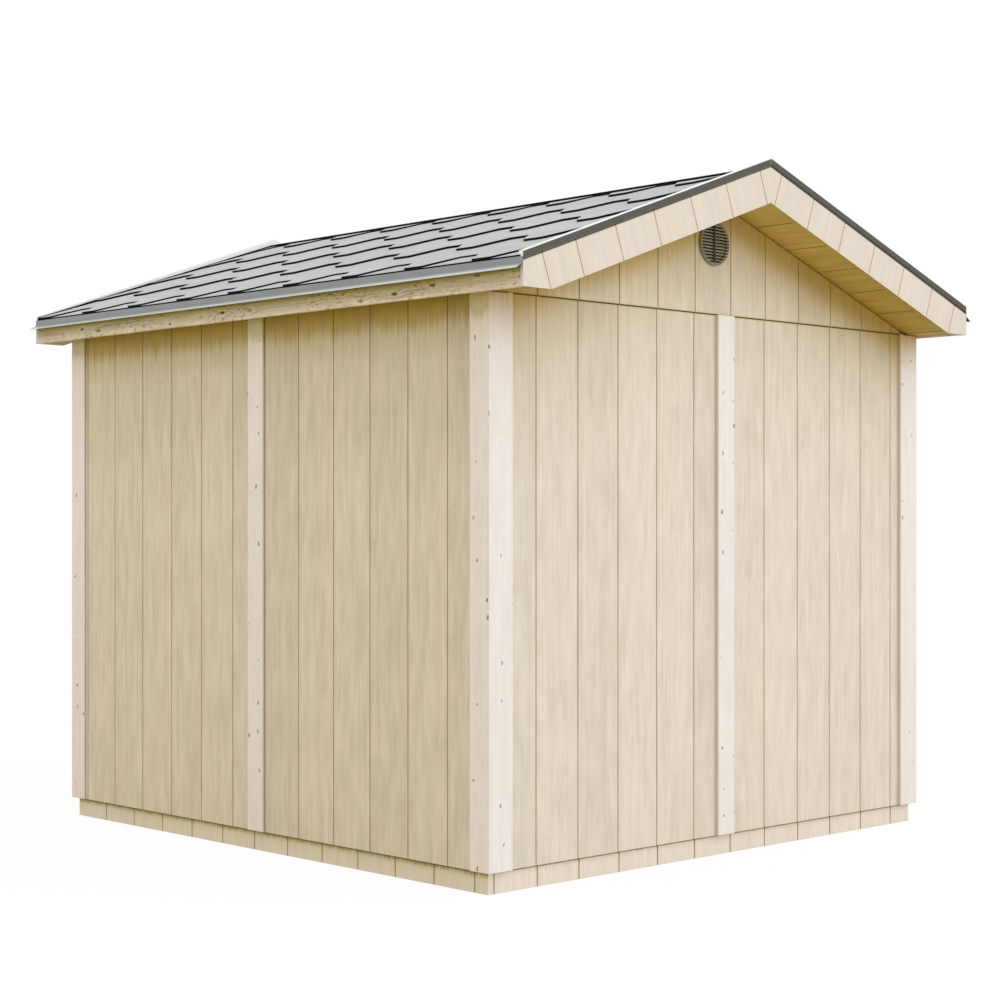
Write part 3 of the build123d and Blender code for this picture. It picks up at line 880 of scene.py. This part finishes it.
def make_shingle_courses():
    """Geometry tree: courses of tabbed shingles, each a wedge whose thick lower edge follows the tabs."""
    n, given = new_geometry_tree("shingle_courses", (
        ("Int", ("Columns", "Courses")), ("Vector", ("Start", "Turn")), ("Material", ("Granules", "Edge")),
        ("Float", ("Length", "Spacing", "Run", "Tab Pitch", "Tab Foot", "Tab Depth", "Tab Phase", "Tab Shift",
                   "Foot Top", "Foot Under", "Head Top", "Head Under", "Head Cut"))))
    x, y, _ = n.split(n.geo("InputPosition"))
    sheet = n.geo("MeshGrid", {
        "Size X": 1.0, "Size Y": given["Length"], "Vertices X": 2, "Vertices Y": given["Columns"]})
    sheet = n.store(sheet, "head", n.calc("GREATER_THAN", x, 0.0), "FLOAT", "POINT")
    apart = {"Count": given["Courses"], "Offset": (2.0, 0.0, 0.0)}
    rows = n.geo("MeshLine", apart, mode="OFFSET")
    rows = n.store(rows, "course", n.geo("InputIndex"), "FLOAT", "POINT")
    sheets = n.geo("InstanceOnPoints", {"Points": rows, "Instance": sheet})
    sheets = n.geo("RealizeInstances", {"Geometry": sheets})
    head, course = n.stored("head", "FLOAT"), n.stored("course", "FLOAT")
    half_pitch = n.mul(given["Tab Pitch"], 0.5)
    half_foot = n.mul(given["Tab Foot"], 0.5)
    phase = n.mad(course, given["Tab Shift"], given["Tab Phase"])
    swing = n.calc("PINGPONG", n.sub(y, phase), half_pitch)
    gap = n.ramp(swing, half_foot, n.sub(half_pitch, half_foot), smooth=False)
    foot = n.mul(gap, given["Tab Depth"])

    def sheet_place(foot_level, head_level):
        """Where a corner of a sheet goes, for its levels at the foot and at the head of the course."""
        fall = n.div(n.sub(head_level, foot_level), given["Run"])
        foot_z = n.mad(fall, foot, foot_level)
        head_x = n.mad(head_level, given["Head Cut"], given["Run"])
        place_x = n.mad(course, given["Spacing"], n.mad(n.sub(head_x, foot), head, foot))
        return n.vector(place_x, y, n.mad(n.sub(head_level, foot_z), head, foot_z))

    lift = n.put("GeometryNodeCaptureAttribute", {0: sheets})
    lift.capture_items.new("VECTOR", "Top Place")
    n.feed(lift.inputs[1], sheet_place(given["Foot Top"], given["Head Top"]))
    under = n.geo("SetPosition", {
        "Geometry": lift.outputs[0], "Position": sheet_place(given["Foot Under"], given["Head Under"])})
    raised = n.put("GeometryNodeExtrudeMesh", {
        "Mesh": under, "Offset": upright, "Offset Scale": 0.001, "Individual": False}).outputs
    upper = n.geo("SetPosition", {
        "Geometry": raised[0], "Selection": raised["Top"], "Position": lift.outputs[1]})
    closed = n.put("GeometryNodeJoinGeometry", {0: upper})
    n.feed(closed.inputs[0], n.geo("FlipFaces", {"Mesh": under}))
    laid = n.geo("MergeByDistance", {"Geometry": closed.outputs[0], "Distance": 0.00005})
    turn = n.out("FunctionNodeEulerToRotation", {0: given["Turn"]})
    laid = n.geo("Transform", {"Geometry": laid, "Translation": given["Start"], "Rotation": turn})
    laid = n.geo("RealizeInstances", {"Geometry": laid})
    laid = n.paint(n.paint(laid, given["Edge"]), given["Granules"], raised["Top"])
    n.put("NodeGroupOutput", {0: laid})
    return n.tree


shingle_courses = make_shingle_courses()


def lay_courses(name, values):
    """One run of shingle courses as a plain mesh."""
    return settle(grow(new_piece(name, bpy.data.meshes.new(name)), shingle_courses, values))


def join(name, pieces):
    """Several meshes as one piece."""
    shape = bmesh.new()
    materials = []
    for piece in pieces:
        place = {}
        for index, material in enumerate(piece.data.materials):
            if material not in materials:
                materials.append(material)
            place[index] = materials.index(material)
        first = len(shape.faces)
        shape.from_mesh(piece.data)
        shape.faces.ensure_lookup_table()
        for face in shape.faces[first:]:
            face.material_index = place[face.material_index]
        bpy.data.objects.remove(piece)
    mesh = bpy.data.meshes.new(name)
    shape.to_mesh(mesh)
    shape.free()
    for material in materials:
        mesh.materials.append(material)
    return new_piece(name, mesh)


def ridge_strip(name, level, length):
    """A thin dark strip folded over the crest, where the two sides of the ridge course meet."""
    half, fall = ridge_strip_half, ridge_strip_half * tan(cover_pitch)
    outline = [(-half, ridge_strip_foot - fall), (-half, ridge_strip_edge - fall), (0.0, ridge_strip_top),
               (half, ridge_strip_edge - fall), (half, ridge_strip_foot - fall), (0.0, ridge_strip_under)]
    shape = bmesh.new()
    front, back = ([shape.verts.new((x, y, level + z)) for x, z in outline]
                   for y in (-length / 2, length / 2))
    shape.faces.new(front)
    shape.faces.new(back[::-1])
    for index in range(len(outline)):
        after = (index + 1) % len(outline)
        shape.faces.new((front[after], front[index], back[index], back[after]))
    bmesh.ops.recalc_face_normals(shape, faces=shape.faces)
    mesh = bpy.data.meshes.new(name)
    shape.to_mesh(mesh)
    shape.free()
    mesh.materials.append(looks["shingle_edge_and_shade"])
    return new_piece(name, mesh)


def dress_roof():
    """Starter strip, tabbed courses and edge beads on both slopes, and the tabbed ridge course over them."""
    verge_inside = -rake_front - verge_width
    slope_length = eave_x / cos(cover_pitch)
    deck_top = deck_low.z + deck_thickness / cos(cover_pitch)
    run = course_spacing + course_lap
    fall = butt_thickness / course_spacing
    ridge_foot = course_spacing * course_count
    bead_y = verge_inside - bead_width / 2 + bead_lap
    common = {
        "Length": deck_high.y - deck_low.y, "Columns": course_columns, "Courses": 1,
        "Spacing": course_spacing, "Tab Pitch": tab_pitch, "Tab Foot": tab_foot, "Tab Depth": 0.0,
        "Tab Phase": tab_phase, "Tab Shift": tab_shift, "Foot Under": 0.0, "Head Under": 0.0, "Head Cut": 0.0,
        "Granules": looks["shingle_top"], "Edge": looks["shingle_edge_and_shade"],
    }
    tabs = {"Tab Depth": tab_depth, "Foot Top": foot_height, "Foot Under": foot_height - butt_thickness}
    ridge_parts = []
    for side, turn, name in ((-1.0, 0.0, "left"), (1.0, pi, "right")):
        start = Vector((side * eave_x, 0.0, deck_top))
        up = Vector((-side * cos(cover_pitch), 0.0, sin(cover_pitch)))
        slope = {**common, "Turn": (0.0, -cover_pitch, turn), "Start": start}
        tabbed = {**slope, **tabs, "Run": run, "Head Top": foot_height - fall * run}
        parts = [
            lay_courses(name + "_eave_course", {**tabbed, "Tab Phase": eave_tab_phase}),
            lay_courses(name + "_courses", {
                **tabbed, "Start": start + up * course_spacing, "Courses": course_count - 1,
                "Tab Phase": tab_phase + tab_shift}),
            lay_courses(name + "_starter", {
                **slope, "Run": starter_run, "Foot Top": starter_foot, "Head Top": starter_head}),
        ]
        # Beads along the verges, near black like the shingle edges: the cut edges, in part painted shade
        # along them
        for end in (-1.0, 1.0):
            begin = bead_start if end * side > 0 else 0.0
            parts.append(lay_courses(name + "_bead", {
                **slope, "Start": start + up * begin + Vector((0.0, end * bead_y, 0.0)), "Length": bead_width,
                "Columns": 2, "Run": slope_length - begin - bead_stop, "Foot Top": foot_height + bead_lift,
                "Head Top": foot_height, "Granules": looks["shingle_edge_and_shade"]}))
        hand_over(join(name + "_shingle_courses", parts), "shingle", name + "_shingles")

        ridge_parts.append(lay_courses(name + "_ridge_half", {
            **slope, **tabs, "Start": start + up * ridge_foot, "Length": 2 * verge_inside,
            "Run": slope_length - ridge_foot, "Tab Phase": tab_phase + tab_shift * course_count,
            "Head Top": crest_height, "Head Under": crest_under, "Head Cut": tan(cover_pitch)}))
    crest = deck_top + eave_x * tan(cover_pitch) + crest_height / cos(cover_pitch)
    ridge_parts.append(ridge_strip("ridge_strip", crest, 2 * verge_inside))
    hand_over(join("ridge_course", ridge_parts), "shingle", "ridge_cap")


def dress_metal():
    """Verge caps with a dark face and a top painted pale as a reflection, and drip edges with a lip painted
    pale as a highlight and painted shade underneath.
    """
    def verge_finish(face):
        # Outer faces take the dark verge face; the top, the ends and the inner faces take the painted
        # reflection
        outer = abs(face.normal.y) > full_on and abs(face.center.y) > -rake_front - slack
        return 0 if outer else 1

    def drip_finish(face):
        # Downward and end faces take painted shade, upward faces the lip's painted highlight, the rest the
        # face grey
        if face.normal.z < -0.3 or abs(face.normal.y) > full_on:
            return 2
        return 1 if face.normal.z > 0.3 else 0

    for side in ("left", "right"):
        caps = merged_copy(side + "_verge_flashing", side + "_verge_caps")
        paint(caps, (side + "_verge_face", "verge_painted_reflection"), verge_finish)
        hand_over(ease(caps, metal_ease, 1), "verge_metal", side + "_verge_caps")
        drip = merged_copy(side + "_drip_flashing", side + "_drip_edge")
        for corner in drip.data.vertices:
            if corner.co.z < lip_top:
                corner.co.z += lip_tip_rise if abs(corner.co.x) > eave_x + lip_reach else lip_fold_rise
        drip.data.update()
        paint(drip, ("drip_face", "drip_lip_highlight", "drip_underside_shade"), drip_finish)
        hand_over(ease(drip, metal_ease, 1), "drip_metal", side + "_drip_edge")


def dress_vents():
    """Moulded vents: a rim, louvres and a darker bar down the middle."""
    for node in ("front_gable_vent", "back_gable_vent"):
        low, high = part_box(node)
        middle_x, middle_z = (low.x + high.x) / 2, (low.z + high.z) / 2
        piece = merged_copy(node + "_grille", node, whole=False)
        corners = piece.data.vertices

        def part_of_vent(face):
            places = [corners[index].co for index in face.vertices]
            places = [(place.x - middle_x, place.z - middle_z) for place in places]
            if max(abs(x) for x, _ in places) < vent_bar / 2 + slack:
                if min(abs(z) for _, z in places) < vent_clear + 0.003:
                    return 2
            return 0 if min(hypot(x, z) for x, z in places) > vent_clear - 0.002 else 1

        paint(piece, ("vent_rim", "vent_louvre", "vent_middle"), part_of_vent)
        hand_over(ease(piece, vent_ease), "vent_plastic", node)


def finish_hidden_frame():
    """Sawn wood on the frame, floor and deck inside."""
    for node in ("floor_joists", "floor_deck", "gable_short_studs", "gable_wall_plates", "gable_wall_studs",
                 "side_wall_plates", "side_wall_studs", "rafters", "ridge_board", "left_roof_deck",
                 "right_roof_deck"):
        mesh = cad_nodes[node].data
        mesh.materials.clear()
        mesh.materials.append(looks["frame_wood"])


def build_studio():
    """White surround, pale floor, soft key from the right and the camera of the photo."""
    scene = bpy.context.scene
    scene.view_settings.view_transform = "Standard"
    world = bpy.data.worlds.new("studio")
    world.use_nodes = True
    scene.world = world
    world.node_tree.nodes.clear()
    n = Nodes(world.node_tree)
    rays = n.put("ShaderNodeLightPath").outputs
    seen = n.calc("MAXIMUM", rays["Is Glossy Ray"], rays["Is Transmission Ray"])
    seen = n.calc("MAXIMUM", rays["Is Camera Ray"], seen)
    lit = n.out("ShaderNodeBackground", {"Color": (1.0, 0.965, 0.905), "Strength": 0.92})
    white = n.out("ShaderNodeBackground", {"Color": (1.0, 1.0, 1.0), "Strength": 1.0})
    n.put("ShaderNodeOutputWorld", {0: n.out("ShaderNodeMixShader", {0: seen, 1: lit, 2: white})})

    reach, level = 30.0, -0.001
    floor_mesh = bpy.data.meshes.new("studio_floor")
    corners = [(-reach, -reach, level), (reach, -reach, level), (reach, reach, level), (-reach, reach, level)]
    floor_mesh.from_pydata(corners, [], [(0, 1, 2, 3)])
    floor = new_piece("studio_floor", floor_mesh)
    n, shader = new_look("pale_floor")
    for key, value in (("Base Color", (0.66, 0.66, 0.65)), ("Roughness", 0.9), ("Specular IOR Level", 0.0)):
        n.feed(shader.inputs[key], value)
    rays = n.put("ShaderNodeLightPath").outputs
    seen = n.mul(n.calc("MAXIMUM", rays["Is Camera Ray"], rays["Is Glossy Ray"]), 0.88)
    white = n.out("ShaderNodeEmission", {"Color": (1.0, 1.0, 1.0), "Strength": 1.05})
    both = n.out("ShaderNodeMixShader", {0: seen, 1: shader.outputs[0], 2: white})
    n.feed(n.tree.nodes["Material Output"].inputs[0], both)
    floor_mesh.materials.append(looks["pale_floor"])

    key = bpy.data.lights.new("key", "SUN")
    key.energy = 1.0
    key.angle = radians(70.0)
    key.color = (0.80, 0.92, 1.0)
    lamp = new_piece("key", key)
    lamp.rotation_euler = Vector((0.55, -1.0, 0.55)).to_track_quat("Z", "Y").to_euler()

    lens = bpy.data.cameras.new("photo_camera")
    lens.lens = 72.64
    lens.sensor_width = 36.0
    lens.shift_y = 0.0176
    camera = new_piece("photo_camera", lens)
    camera.location = (-5.6961, wall_front - 4.7758, 1.2328)
    camera.rotation_euler = (radians(90.0), 0.0, radians(-43.696))
    scene.camera = camera


dress_walls()
dress_rakes()
dress_trim()
dress_roof()
dress_metal()
dress_vents()
finish_hidden_frame()
build_studio()
